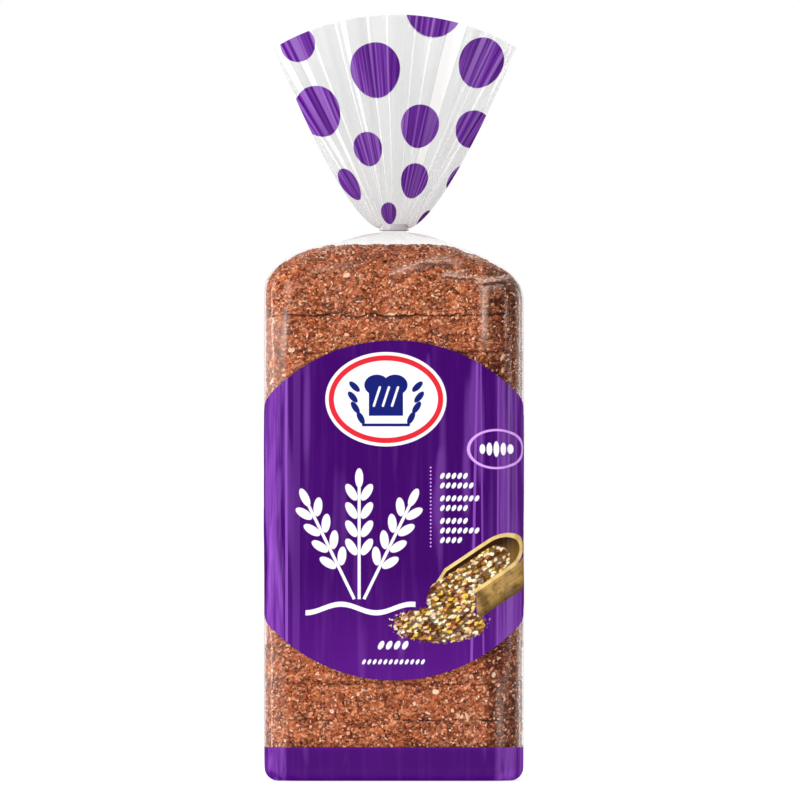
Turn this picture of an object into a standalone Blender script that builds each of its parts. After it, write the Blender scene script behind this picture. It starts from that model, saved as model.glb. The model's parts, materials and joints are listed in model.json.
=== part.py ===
"""A sliced wholegrain loaf in its clear printed bag, gathered at the neck by a flat tie.

Metres, +Z up. The origin is the centre of the base, and the printed front faces -Y.
bread_bag is the film drawn tight over the loaf, with the ruffled open mouth above the neck.
neck_tie is the flat strip that is wrapped round the neck and twisted shut behind it.
"""

import math

import bmesh
import bpy
from mathutils import Matrix, Vector

# Loaf and bag body
BODY_WIDTH = 0.097
BODY_DEPTH = 0.088
CORNER_RADIUS = 0.013
BASE_EDGE = 0.005
SLICE_THICKNESS = 0.01374
FIRST_CUT_Z = 0.009
SLICE_COUNT = 13
CUT_DEPTH = 0.0005

# Domed heel on top, and the film that slopes from it to the neck
DOME_REACH = 0.031
DOME_RISE = 0.0137
TENT_FOLD = 0.0005

# Neck
NECK_HALF_WIDTH = 0.0045
NECK_HALF_DEPTH = 0.0036
NECK_BOTTOM_Z = 0.2051
NECK_TOP_Z = 0.2087

# Ruffled mouth: a fan whose folds all start from one focus below the neck
FOCUS_Z = 0.1966
MOUTH_REACH = 0.0899
MOUTH_HALF_WIDTH = 0.0456
MOUTH_HALF_DEPTH = 0.0160
FLARE_POWER = 0.75
FAN_TILT = 0.0006
PLEATS = 22
PLEAT_HEIGHT = 0.0015
WALL = 0.0013
HOLLOW_START = 0.30

# Tie
TIE_GAP = 0.00035
TIE_THICKNESS = 0.0006
TIE_HEIGHT = 0.0026
TIE_BOTTOM_Z = 0.2056
TWIST_LENGTH = 0.0085
TWIST_TURNS = 1.5
TAIL_LENGTH = 0.0065
TAIL_ANGLE = math.radians(32)

# Print
DISC_CENTRE_Z = 0.1011
DISC_RADIUS = 0.0640
BAND_TOP_Z = 0.0127

POINTS_PER_PLEAT = 4
RING_POINTS = PLEATS * POINTS_PER_PLEAT

CRUST_BROWN = (0.41, 0.13, 0.064, 1)
PRINT_PURPLE = (0.082, 0.008, 0.20, 1)
CLEAR_FILM = (0.77, 0.77, 0.77, 1)
TIE_GREY = (0.43, 0.44, 0.43, 1)


def empty_scene():
    """Removes every object, so that the script gives the same model each time it is run."""
    for thing in list(bpy.data.objects):
        bpy.data.objects.remove(thing)


def new_collection(name):
    """A collection of that name, linked to the scene."""
    collection = bpy.data.collections.new(name)
    bpy.context.scene.collection.children.link(collection)
    return collection


def plain_material(name, colour, roughness, metallic=0.0):
    """A Principled material of one colour."""
    material = bpy.data.materials.new(name)
    material.use_nodes = True
    shader = material.node_tree.nodes["Principled BSDF"]
    shader.inputs["Base Color"].default_value = colour
    shader.inputs["Roughness"].default_value = roughness
    shader.inputs["Metallic"].default_value = metallic
    material.diffuse_color = colour
    return material


def rounded_rectangle(half_width, half_depth, corner, share):
    """The point at a share of the way round a rounded rectangle, from +X towards +Y."""
    quarter = int(share * 4) % 4
    part = share * 4 - int(share * 4)
    if quarter % 2:
        part = 1 - part
    side = half_depth - corner
    arc = corner * math.pi / 2
    run = part * (side + arc + half_width - corner)
    if run < side:
        x, y = half_width, run
    elif run < side + arc:
        angle = (run - side) / corner
        x = half_width - corner + corner * math.cos(angle)
        y = side + corner * math.sin(angle)
    else:
        x, y = half_width - corner - (run - side - arc), half_depth
    return Vector((-x if quarter in (1, 2) else x, -y if quarter in (2, 3) else y))


def ellipse(half_width, half_depth, share):
    """The point at a share of the way round an ellipse, from +X towards +Y."""
    turn = 2 * math.pi * share
    return Vector((half_width * math.cos(turn), half_depth * math.sin(turn)))


def ripple(share):
    """Height of the pleats round the neck, from -1 to 1, uneven as hand-gathered film is."""
    turn = 2 * math.pi * share
    return math.sin(PLEATS * turn) * (0.78 + 0.22 * math.sin(3 * turn + 0.8))


def shares():
    """Evenly spaced places round a ring."""
    return [i / RING_POINTS for i in range(RING_POINTS)]


def body_ring(inset, z):
    """A level ring of the body, drawn in from its full size by an inset."""
    half_width = BODY_WIDTH / 2 - inset
    half_depth = BODY_DEPTH / 2 - inset * (BODY_DEPTH / BODY_WIDTH)
    corner = min(CORNER_RADIUS + inset * 0.2, half_depth * 0.98)
    points = [rounded_rectangle(half_width, half_depth, corner, share) for share in shares()]
    return [Vector((p.x, p.y, z)) for p in points]


def base_rings():
    """The rounded edge from the flat base up to the side of the bag."""
    steps = 3
    rings = []
    for i in range(steps + 1):
        angle = math.pi / 2 * i / steps
        rings.append(body_ring(BASE_EDGE * (1 - math.sin(angle)), BASE_EDGE * (1 - math.cos(angle))))
    return rings


def slice_rings():
    """The side of the loaf: a shallow dip at each cut, and the full size at each slice's middle."""
    rings = []
    for i in range(SLICE_COUNT):
        cut_z = FIRST_CUT_Z + i * SLICE_THICKNESS
        rings.append(body_ring(CUT_DEPTH, cut_z))
        rings.append(body_ring(0, cut_z + SLICE_THICKNESS / 2))
    rings.append(body_ring(CUT_DEPTH, FIRST_CUT_Z + SLICE_COUNT * SLICE_THICKNESS))
    return rings


def dome_rings():
    """The rounded heel of the loaf, from the last cut up to its flat top."""
    steps = 6
    start_z = FIRST_CUT_Z + SLICE_COUNT * SLICE_THICKNESS
    rings = []
    for i in range(1, steps):
        angle = math.pi / 2 * i / steps
        inset = DOME_REACH * (1 - math.cos(angle))
        rings.append(body_ring(inset, start_z + DOME_RISE * math.sin(angle)))
    return rings


def tent_rings():
    """The film above the loaf, which rises in small folds to the neck."""
    start_z = FIRST_CUT_Z + SLICE_COUNT * SLICE_THICKNESS + DOME_RISE
    inset = DOME_REACH * 0.92
    start = body_ring(inset, start_z)
    neck = neck_ring(NECK_BOTTOM_Z)
    rings = []
    for closeness in (0.0, 0.4, 0.75):
        ring = []
        for share, outer, inner in zip(shares(), start, neck):
            point = outer.lerp(inner, closeness)
            fold = TENT_FOLD * ripple(share) * math.sin(math.pi * (0.25 + 0.7 * closeness))
            ring.append(point + Vector((0, 0, fold)))
        rings.append(ring)
    return rings


def neck_ring(z):
    """A level ring of the gathered neck."""
    points = [ellipse(NECK_HALF_WIDTH, NECK_HALF_DEPTH, share) for share in shares()]
    return [Vector((p.x, p.y, z)) for p in points]


def fan_ring(rise, wall):
    """A ring of the mouth at a share of its rise from the neck, drawn in by the wall's thickness.

    Every point is as far from the focus as the next, because the bag's mouth is cut straight.
    """
    neck_reach = NECK_TOP_Z - FOCUS_Z
    reach = neck_reach + (MOUTH_REACH - neck_reach) * rise
    half_width = NECK_HALF_WIDTH + (MOUTH_HALF_WIDTH - NECK_HALF_WIDTH) * rise**FLARE_POWER
    half_depth = NECK_HALF_DEPTH + (MOUTH_HALF_DEPTH - NECK_HALF_DEPTH) * rise
    pleat = PLEAT_HEIGHT * min(1, 2.5 * rise)
    ring = []
    for share in shares():
        point = ellipse(half_width, half_depth, share)
        outward = Vector((point.x / half_width**2, point.y / half_depth**2)).normalized()
        point += outward * (pleat * ripple(share) - wall)
        x = point.x + FAN_TILT * rise
        ring.append(Vector((x, point.y, FOCUS_Z + math.sqrt(reach**2 - point.x**2))))
    return ring


def fan_rings():
    """The mouth from the neck up to its cut edge, then down inside it to the bottom of the hollow."""
    outer = [fan_ring(rise, 0) for rise in (0.06, 0.13, 0.22, 0.33, 0.46, 0.60, 0.74, 0.87, 1.0)]
    inner_rises = [HOLLOW_START + (1 - HOLLOW_START) * i / 5 for i in range(6)]
    inner = [fan_ring(rise, WALL) for rise in reversed(inner_rises)]
    return outer + inner


def loft(name, rings, collection):
    """A closed solid whose rings are joined one to the next, with a cap on the first and the last."""
    mesh = bmesh.new()
    loops = [[mesh.verts.new(point) for point in ring] for ring in rings]
    for lower, upper in zip(loops, loops[1:]):
        for i in range(RING_POINTS):
            j = (i + 1) % RING_POINTS
            mesh.faces.new((lower[i], lower[j], upper[j], upper[i]))
    mesh.faces.new(list(reversed(loops[0])))
    middle = sum((v.co for v in loops[-1]), Vector()) / RING_POINTS
    centre = mesh.verts.new(middle)
    for i in range(RING_POINTS):
        mesh.faces.new((loops[-1][i], loops[-1][(i + 1) % RING_POINTS], centre))
    bmesh.ops.recalc_face_normals(mesh, faces=mesh.faces)
    data = bpy.data.meshes.new(name)
    mesh.to_mesh(data)
    mesh.free()
    data.shade_smooth()
    data.set_sharp_from_angle(angle=math.radians(40))
    solid = bpy.data.objects.new(name, data)
    collection.objects.link(solid)
    return solid


def bag_material():
    """Bread brown seen through the film, purple in the printed disc and band, pale above the neck."""
    material = plain_material("bag_film", CRUST_BROWN, 0.3)
    nodes, links = material.node_tree.nodes, material.node_tree.links
    place = nodes.new("ShaderNodeTexCoord")
    split = nodes.new("ShaderNodeSeparateXYZ")
    links.new(place.outputs["Object"], split.inputs["Vector"])

    def math_node(operation, first, second=None):
        node = nodes.new("ShaderNodeMath")
        node.operation = operation
        for socket, value in zip(node.inputs, (first, second)):
            if isinstance(value, (int, float)):
                socket.default_value = value
            elif value is not None:
                links.new(value, socket)
        return node.outputs["Value"]

    def painted(mask, under, colour):
        node = nodes.new("ShaderNodeMix")
        node.data_type = "RGBA"
        links.new(mask, node.inputs["Factor"])
        if isinstance(under, tuple):
            node.inputs["A"].default_value = under
        else:
            links.new(under, node.inputs["A"])
        node.inputs["B"].default_value = colour
        return node.outputs["Result"]

    x, z = split.outputs["X"], split.outputs["Z"]
    rise = math_node("SUBTRACT", z, DISC_CENTRE_Z)
    distance = math_node("SQRT", math_node("ADD", math_node("POWER", x, 2), math_node("POWER", rise, 2)))
    disc = math_node("LESS_THAN", distance, DISC_RADIUS)
    band = math_node("LESS_THAN", z, BAND_TOP_Z)
    above = math_node("GREATER_THAN", z, NECK_BOTTOM_Z)
    colour = painted(math_node("MAXIMUM", disc, band), CRUST_BROWN, PRINT_PURPLE)
    colour = painted(above, colour, CLEAR_FILM)
    links.new(colour, nodes["Principled BSDF"].inputs["Base Color"])
    return material


def make_bag(collection):
    """The whole bag, lofted from its base up to the mouth and down inside it."""
    rings = base_rings() + slice_rings() + dome_rings() + tent_rings()
    rings += [neck_ring(NECK_BOTTOM_Z), neck_ring(NECK_TOP_Z)]
    rings += fan_rings()
    bag = loft("bread_bag", rings, collection)
    bag.data.materials.append(bag_material())
    return bag


def band_of_tie(collection):
    """The strip where it goes round the neck: an open oval band, thickened outwards."""
    mesh = bmesh.new()
    bmesh.ops.create_circle(mesh, segments=40, radius=1)
    half_width = NECK_HALF_WIDTH + TIE_GAP
    half_depth = NECK_HALF_DEPTH + TIE_GAP
    bmesh.ops.scale(mesh, vec=(half_width, half_depth, 1), verts=mesh.verts)
    bmesh.ops.translate(mesh, vec=(0, 0, TIE_BOTTOM_Z), verts=mesh.verts)
    raised = bmesh.ops.extrude_edge_only(mesh, edges=mesh.edges)
    top = [item for item in raised["geom"] if isinstance(item, bmesh.types.BMVert)]
    bmesh.ops.translate(mesh, vec=(0, 0, TIE_HEIGHT), verts=top)
    bmesh.ops.recalc_face_normals(mesh, faces=mesh.faces)
    data = bpy.data.meshes.new("neck_tie")
    mesh.to_mesh(data)
    mesh.free()
    band = bpy.data.objects.new("neck_tie", data)
    collection.objects.link(band)
    wall = band.modifiers.new("thickness", "SOLIDIFY")
    wall.thickness = TIE_THICKNESS
    wall.offset = 1
    return band


def strip(name, length, thickness, turns, placed, collection):
    """A flat strip along +Y from its origin, twisted along its length and moved to its place."""
    mesh = bmesh.new()
    bmesh.ops.create_cube(mesh, size=1)
    bmesh.ops.scale(mesh, vec=(thickness, length, TIE_HEIGHT * 0.92), verts=mesh.verts)
    bmesh.ops.translate(mesh, vec=(0, length / 2, 0), verts=mesh.verts)
    steps = max(1, round(turns * 10))
    for i in range(1, steps):
        everything = list(mesh.verts) + list(mesh.edges) + list(mesh.faces)
        bmesh.ops.bisect_plane(mesh, geom=everything, plane_co=(0, length * i / steps, 0), plane_no=(0, 1, 0))
    for vertex in mesh.verts:
        twist = Matrix.Rotation(2 * math.pi * turns * vertex.co.y / length, 3, "Y")
        vertex.co = placed @ (twist @ vertex.co)
    data = bpy.data.meshes.new(name)
    mesh.to_mesh(data)
    mesh.free()
    piece = bpy.data.objects.new(name, data)
    collection.objects.link(piece)
    return piece


def make_tie(collection, helpers):
    """The band, the twisted pair behind it, and the two free ends that spread from the twist."""
    band = band_of_tie(collection)
    middle_z = TIE_BOTTOM_Z + TIE_HEIGHT / 2
    start_y = NECK_HALF_DEPTH + TIE_GAP + TIE_THICKNESS * 0.4
    at_neck = Matrix.Translation((0, start_y, middle_z))
    at_end = Matrix.Translation((0, start_y + TWIST_LENGTH - TIE_THICKNESS, middle_z))
    strip("twisted_pair", TWIST_LENGTH, TIE_THICKNESS * 2, TWIST_TURNS, at_neck, helpers)
    for side in (-1, 1):
        placed = at_end @ Matrix.Rotation(side * TAIL_ANGLE, 4, "Z")
        strip(f"free_end_{side}", TAIL_LENGTH, TIE_THICKNESS, 0, placed, helpers)
    join = band.modifiers.new("join", "BOOLEAN")
    join.operation = "UNION"
    join.operand_type = "COLLECTION"
    join.collection = helpers
    join.solver = "EXACT"
    bpy.context.view_layer.update()
    joined = bpy.data.meshes.new_from_object(band.evaluated_get(bpy.context.evaluated_depsgraph_get()))
    band.modifiers.clear()
    band.data = joined
    for helper in list(helpers.objects):
        bpy.data.objects.remove(helper)
    bpy.data.collections.remove(helpers)
    joined.materials.append(plain_material("tie_strip", TIE_GREY, 0.35, 0.6))
    return band


def main():
    empty_scene()
    parts = new_collection("loaf_in_bread_bag")
    helpers = new_collection("tie_helpers")
    make_bag(parts)
    make_tie(parts, helpers)


main()
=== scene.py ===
# %% [markdown]
# # A wholegrain loaf in its clear printed bag
#
# The real object is a square sliced loaf that stands on its end in a tight bag of clear film.
# A large purple disc and a purple band are printed on the film. Above the loaf the bag is
# gathered by a flat tie, and its open mouth spreads into a ruffled fan with purple dots.
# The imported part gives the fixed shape. This script builds the real layers inside it: fourteen
# separate pieces of bread, the flakes baked onto their crust, and the film round all of them.

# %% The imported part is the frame
import json
import math
from contextlib import contextmanager

import bmesh
import bpy
import numpy as np
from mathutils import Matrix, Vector

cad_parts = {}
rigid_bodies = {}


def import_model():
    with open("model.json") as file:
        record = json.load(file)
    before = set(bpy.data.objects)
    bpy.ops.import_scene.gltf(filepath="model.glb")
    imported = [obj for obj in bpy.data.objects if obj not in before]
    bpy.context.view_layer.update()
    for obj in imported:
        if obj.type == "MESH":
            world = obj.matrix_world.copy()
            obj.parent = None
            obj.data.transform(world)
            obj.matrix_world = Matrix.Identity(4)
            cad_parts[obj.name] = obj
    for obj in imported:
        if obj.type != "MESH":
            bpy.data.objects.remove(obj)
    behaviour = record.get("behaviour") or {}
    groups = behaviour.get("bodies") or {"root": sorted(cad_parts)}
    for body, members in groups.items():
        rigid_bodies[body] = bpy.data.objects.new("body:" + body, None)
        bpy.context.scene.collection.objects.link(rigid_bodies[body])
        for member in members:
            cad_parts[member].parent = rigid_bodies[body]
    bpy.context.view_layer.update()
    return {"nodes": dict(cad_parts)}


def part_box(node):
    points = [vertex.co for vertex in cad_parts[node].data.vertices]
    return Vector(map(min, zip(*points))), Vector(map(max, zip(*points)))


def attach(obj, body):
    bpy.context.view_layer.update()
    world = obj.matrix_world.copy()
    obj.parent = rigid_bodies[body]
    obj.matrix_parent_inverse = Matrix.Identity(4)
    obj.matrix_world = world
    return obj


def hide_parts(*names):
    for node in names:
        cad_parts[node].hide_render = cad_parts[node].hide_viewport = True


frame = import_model()
print("nodes in the frame:", sorted(frame["nodes"]))

# %% [markdown]
# The sizes that the bag and the loaf share come first. Everything is in metres, +Z is up, the
# printed front faces -Y, and the origin is the middle of the base. The outer width and depth
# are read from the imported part, and the rest are the sizes that the part was drawn with.

# %% Sizes of the bag and the loaf
MM = 0.001
BODY_HALF_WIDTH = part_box("bread_bag")[1].x
BODY_HALF_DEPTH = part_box("bread_bag")[1].y
CORNER_RADIUS = 13 * MM
BASE_EDGE = 5 * MM
SLICE_THICKNESS = 13.74 * MM
FIRST_CUT_Z = 9 * MM
SLICE_COUNT = 12
LAST_CUT_Z = FIRST_CUT_Z + SLICE_COUNT * SLICE_THICKNESS
FILM_SHOULDER_Z = 183 * MM
DOME_REACH = 34 * MM
DOME_RISE = 18.8 * MM
DOME_END = math.radians(80)
DOME_COSINE = math.cos(DOME_END)
RIGHT_DROP = 2.8 * MM
NECK_HALF_WIDTH = 4.5 * MM
NECK_HALF_DEPTH = 3.6 * MM
NECK_BOTTOM_Z = 205.1 * MM
NECK_TOP_Z = 208.7 * MM
FOCUS_Z = 196.6 * MM
MOUTH_REACH = 89.9 * MM
MOUTH_HALF_WIDTH = 45.6 * MM
MOUTH_HALF_DEPTH = 16.0 * MM
print("body is", round(2 * BODY_HALF_WIDTH / MM, 1), "by", round(2 * BODY_HALF_DEPTH / MM, 1), "mm")

# %% [markdown]
# Blender's operators act on whatever is selected, and the imported part leaves its nodes
# selected. These small helpers select one piece, open it in edit mode, pick elements by their
# place, and add and apply a modifier, which is what the mouse would do in the window.

# %% Helpers for modelling by operators
def only(piece):
    """Selects one piece and nothing else."""
    bpy.ops.object.select_all(action="DESELECT")
    piece.select_set(True)
    bpy.context.view_layer.objects.active = piece
    return piece


@contextmanager
def edit_mode(piece, kind):
    """Opens the piece in edit mode with nothing selected, and closes it afterwards."""
    only(piece)
    bpy.ops.object.mode_set(mode="EDIT")
    bpy.ops.mesh.select_mode(type=kind)
    bpy.ops.mesh.select_all(action="DESELECT")
    yield
    bpy.ops.object.mode_set(mode="OBJECT")


def pick(kind, test):
    """Selects the open piece's verts, edges or faces that pass the test, and counts them."""
    mesh = bmesh.from_edit_mesh(bpy.context.edit_object.data)
    chosen = 0
    for element in getattr(mesh, kind):
        element.select_set(False)
    for element in getattr(mesh, kind):
        if test(element):
            element.select_set(True)
            chosen += 1
    bmesh.update_edit_mesh(bpy.context.edit_object.data)
    return chosen


def apply_modifier(piece, kind, **settings):
    """Adds a modifier with these settings and applies it."""
    only(piece)
    modifier = piece.modifiers.new(kind.lower(), kind)
    for name, value in settings.items():
        setattr(modifier, name, value)
    bpy.ops.object.modifier_apply(modifier=modifier.name)


def settle(piece):
    """Moves the piece's place, turn and scale into its mesh, so that it sits at the origin."""
    only(piece)
    bpy.ops.object.transform_apply(location=True, rotation=True, scale=True)


def triangles(piece):
    """How many triangles the piece's faces make."""
    return sum(len(face.vertices) - 2 for face in piece.data.polygons)


def finish_piece(piece, slot, *materials):
    """Gives the piece its materials, rides it on the part and lets it stand for the plain solid."""
    piece.data.materials.clear()
    for material in materials:
        piece.data.materials.append(material)
    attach(piece, "root")
    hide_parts("bread_bag")
    print(f"{piece.name}: {triangles(piece)} triangles")


# %% [markdown]
# ## Materials written as sums
#
# A pattern such as the crust or the print is a sum of many nodes. One class wraps a node's
# output, so that a line like `(0.5 - distance / 0.1).clamped()` adds the Math nodes that work
# it out. A second class holds a material and makes every other kind of node.

# %% A value that varies over a surface
def adds(operation, swapped=False):
    """A method that adds one kind of Math node."""
    def method(self, *others):
        return self.paint.math(operation, *((*others, self) if swapped else (self, *others)))
    return method


class Value:
    """One output of a node, which adds Math nodes when it is used in a sum."""

    def __init__(self, paint, socket):
        self.paint = paint
        self.socket = socket

    __add__ = __radd__ = adds("ADD")
    __sub__ = adds("SUBTRACT")
    __rsub__ = adds("SUBTRACT", swapped=True)
    __mul__ = __rmul__ = adds("MULTIPLY")
    __truediv__ = adds("DIVIDE")
    __pow__ = adds("POWER")
    __mod__ = adds("FLOORED_MODULO")
    __abs__ = adds("ABSOLUTE")
    __lt__ = adds("LESS_THAN")
    __gt__ = adds("GREATER_THAN")
    sine = adds("SINE")
    at_least = adds("MAXIMUM")

    def clamped(self):
        return self.paint.node("Clamp", {}, {"Value": self})

    def over(self, level, gain):
        """Grows from 0 at the level, by the gain for each unit above it, and stops at 1."""
        return ((self - level) * gain).clamped()

    def under(self, level, gain):
        """Grows from 0 at the level, by the gain for each unit below it, and stops at 1."""
        return ((level - self) * gain).clamped()


# %% A material being made
class Paint:
    """A material, or the world, and the nodes that are added to it."""

    def __init__(self, name, library=bpy.data.materials, output="OutputMaterial"):
        self.block = library.new(name)
        self.block.use_nodes = True
        self.tree = self.block.node_tree
        self.tree.nodes.clear()
        self.output = output

    def node(self, kind, settings, sockets, output=0):
        """Adds a node, with its settings first and then its sockets' values or links."""
        node = self.tree.nodes.new("ShaderNode" + kind)
        for name, value in settings.items():
            setattr(node, name, value)
        for name, value in sockets.items():
            if isinstance(value, Value):
                self.tree.links.new(value.socket, node.inputs[name])
            else:
                node.inputs[name].default_value = value
        return Value(self, node.outputs[output])

    def math(self, operation, *values):
        return self.node("Math", {"operation": operation}, dict(enumerate(values)))

    def mix(self, share, under, over):
        """The colour under, turned into the colour over by a share."""
        return self.node("Mix", {"data_type": "RGBA"}, {"Factor": share, "A": under, "B": over}, "Result")

    def layers(self, under, *layers):
        """A colour with others painted over it one by one, each with its own share."""
        for share, over in layers:
            under = self.mix(share, under, over)
        return under

    def mix_shaders(self, share, under, over):
        return self.node("MixShader", {}, {0: share, 1: under, 2: over})

    def place(self):
        """The point's X, Y and Z in the object, in millimetres."""
        point = self.node("TexCoord", {}, {}, "Object")
        return [self.node("SeparateXYZ", {}, {"Vector": point}, axis) / MM for axis in "XYZ"]

    def point(self, place, size=1):
        """A texture's place: three values, divided by one size or each by its own."""
        sizes = size if isinstance(size, tuple) else (size, size, size)
        scaled = [value if size == 1 else value / size for value, size in zip(place, sizes)]
        return self.node("CombineXYZ", {}, dict(zip("XYZ", scaled)))

    def noise(self, place, size, detail=2, roughness=0.5):
        """Soft noise from 0 to 1, with lumps of a size in millimetres."""
        sockets = {"Vector": self.point(place, size), "Scale": 1, "Detail": detail, "Roughness": roughness}
        return self.node("TexNoise", {}, sockets, "Fac")

    def cells(self, point, output="Distance"):
        """Voronoi cells one unit apart: the distance to the nearest seed, or the cell's own colour."""
        return self.node("TexVoronoi", {}, {"Vector": point, "Scale": 1}, output)

    def cell_tone(self, point):
        """A number from 0 to 1 that is the same all over a cell."""
        return self.node("SeparateColor", {}, {"Color": self.cells(point, "Color")}, "Red")

    def attribute(self, name):
        return self.node("Attribute", {"attribute_name": name}, {}, "Fac")

    def ramp(self, share, stops):
        """The colour that a share picks from a row of stops."""
        value = self.node("ValToRGB", {}, {"Fac": share}, "Color")
        elements = value.socket.node.color_ramp.elements
        while len(elements) < len(stops):
            elements.new(1)
        for element, (position, shade) in zip(elements, stops):
            element.position = position
            element.color = shade
        return value

    def bump(self, height, strength, distance):
        return self.node("Bump", {}, {"Height": height, "Strength": strength, "Distance": distance})

    def shader(self, **sockets):
        named = {name.replace("_", " "): value for name, value in sockets.items()}
        return self.node("BsdfPrincipled", {}, named)

    def finish(self, shader):
        output = self.tree.nodes.new("ShaderNode" + self.output)
        self.tree.links.new(shader.socket, output.inputs["Surface"])
        return self.block


def colour(red, green, blue):
    """A screen colour from 0 to 255, as the linear light that a shader works in."""
    def linear(level):
        share = level / 255
        return share / 12.92 if share <= 0.04045 else ((share + 0.055) / 1.055) ** 2.4
    return (linear(red), linear(green), linear(blue), 1.0)


# %% [markdown]
# ## The slices
#
# The loaf was baked in a square tin and cut into slices, which still stand on one another. Each
# slice is a rounded square slab. It starts as a cube, its four upright edges and its rims are
# bevelled, and its long walls are subdivided until a face is under a millimetre wide, because
# the crust's grains are real relief. One slice is modelled and then copied.

# %% One plain slice
BREAD_INSET = 0.8 * MM
BREAD_CORNER = 12.2 * MM
SLICE_GAP = 0.02 * MM
RIM_RADIUS = 0.15 * MM
CORNER_STEPS = 24
WALL_STEPS = 106
HEIGHT_STEPS = 19
LONG_EDGE = 5 * MM


def is_upright(edge):
    return abs(edge.verts[0].co.z - edge.verts[1].co.z) > abs(edge.calc_length()) * 0.99


def slab(name, low_z, high_z):
    """A bread slab between two heights, with its upright edges rounded."""
    half_width = BODY_HALF_WIDTH - BREAD_INSET
    half_depth = BODY_HALF_DEPTH - BREAD_INSET
    size = (2 * half_width, 2 * half_depth, high_z - low_z)
    bpy.ops.object.select_all(action="DESELECT")
    bpy.ops.mesh.primitive_cube_add(size=1, location=(0, 0, (low_z + high_z) / 2), scale=size)
    piece = bpy.context.object
    piece.name = name
    settle(piece)
    with edit_mode(piece, "EDGE"):
        pick("edges", is_upright)
        bpy.ops.mesh.bevel(offset=BREAD_CORNER, segments=CORNER_STEPS, affect="EDGES")
    return piece


def refine(piece):
    """Rounds both rims, then divides the long flat walls and their height."""
    heights = [vertex.co.z for vertex in piece.data.vertices]
    low_z, high_z = min(heights), max(heights)
    with edit_mode(piece, "EDGE"):
        pick("edges", lambda edge: (not is_upright(edge)
                                    and all(v.co.z in (low_z, high_z) for v in edge.verts)))
        bpy.ops.mesh.bevel(offset=RIM_RADIUS, segments=2, affect="EDGES")
        pick("edges", lambda edge: not is_upright(edge) and edge.calc_length() > LONG_EDGE)
        bpy.ops.mesh.subdivide(number_cuts=WALL_STEPS)
        pick("edges", lambda edge: is_upright(edge) and edge.calc_length() > LONG_EDGE)
        bpy.ops.mesh.subdivide(number_cuts=HEIGHT_STEPS)


plain_slice = slab("plain_slice", FIRST_CUT_Z + SLICE_GAP / 2,
                   FIRST_CUT_Z + SLICE_THICKNESS - SLICE_GAP / 2)
refine(plain_slice)
print("one plain slice:", triangles(plain_slice), "triangles")

# %% [markdown]
# The bread and the film meet everywhere, so they share a few moves of their points. The loaf's
# right shoulder sags a little, as in the photograph. No point of the bread may pass the film, so
# each one that would is brought back inside the rounded walls and the dome.

# %% Vertex moves that the bread and the film share
def read_points(piece):
    """The piece's points as rows of X, Y and Z."""
    points = np.empty(len(piece.data.vertices) * 3)
    piece.data.vertices.foreach_get("co", points)
    return points.reshape(-1, 3)


def write_points(piece, points):
    piece.data.vertices.foreach_set("co", points.ravel())
    piece.data.update()


def note(piece, name, values):
    """Keeps one number for each point of the piece."""
    data = piece.data.attributes.new(name, "FLOAT", "POINT")
    data.data.foreach_set("value", values.astype(np.float32))


SAG_FROM_X, SAG_WIDTH = 14 * MM, 24 * MM
SAG_FROM_Z, SAG_HEIGHT = 175 * MM, 8 * MM
TINY = 1e-9


def right_drop(x, z):
    """How much lower the loaf's right shoulder sags than its left one."""
    share = np.clip((x - SAG_FROM_X) / SAG_WIDTH, 0, 1)
    above = np.clip((z - SAG_FROM_Z) / SAG_HEIGHT, 0, 1)
    return RIGHT_DROP * share * share * (3 - 2 * share) * above


def keep_inside(points, margin):
    """Moves points that would touch the film's walls or its dome back inside them."""
    flat = np.array([BODY_HALF_WIDTH - CORNER_RADIUS, BODY_HALF_DEPTH - CORNER_RADIUS])
    level = np.abs(points[:, :2])
    past = np.maximum(level - flat, 0)
    reach = np.maximum(np.linalg.norm(past, axis=1), TINY)
    share = np.minimum(1, (CORNER_RADIUS - margin) / reach)
    points[:, :2] = np.sign(points[:, :2]) * (np.minimum(level, flat) + past * share[:, None])
    outward = np.maximum(level[:, 0] / BODY_HALF_WIDTH, level[:, 1] / BODY_HALF_DEPTH)
    cosine = np.clip(1 - BODY_HALF_WIDTH * (1 - outward) / DOME_REACH, DOME_COSINE, 1)
    dome = FILM_SHOULDER_Z + DOME_RISE * np.sqrt(1 - cosine**2)
    dome = dome - right_drop(points[:, 0], dome) - 2 * margin
    points[:, 2] = np.where(points[:, 2] > FILM_SHOULDER_Z, np.minimum(points[:, 2], dome), points[:, 2])
    return points


# %% [markdown]
# The two heels close the loaf. The lower one is a thin slab with a rounded edge. The upper one
# swells into a shallow dome: its top face is extruded and drawn in, ring after ring, along a
# quarter of an ellipse. Both are then remeshed to even faces, as crust covers them all over.

# %% The two heels
HEEL_VOXEL = 0.8 * MM
HEEL_REACH = 33 * MM
HEEL_RISE = 17.3 * MM
DOME_STEPS = 10
HEEL_BOTTOM_Z = 0.9 * MM
HEEL_EDGE = 4 * MM


def lower_heel():
    """The slab at the bottom, with its outer edge rounded."""
    heel = slab("slice_00", HEEL_BOTTOM_Z, FIRST_CUT_Z - SLICE_GAP / 2)
    with edit_mode(heel, "EDGE"):
        pick("edges", lambda edge: all(v.co.z < FIRST_CUT_Z / 2 for v in edge.verts))
        bpy.ops.mesh.bevel(offset=HEEL_EDGE, segments=5, affect="EDGES")
    apply_modifier(heel, "REMESH", mode="VOXEL", voxel_size=HEEL_VOXEL)
    return heel


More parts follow.
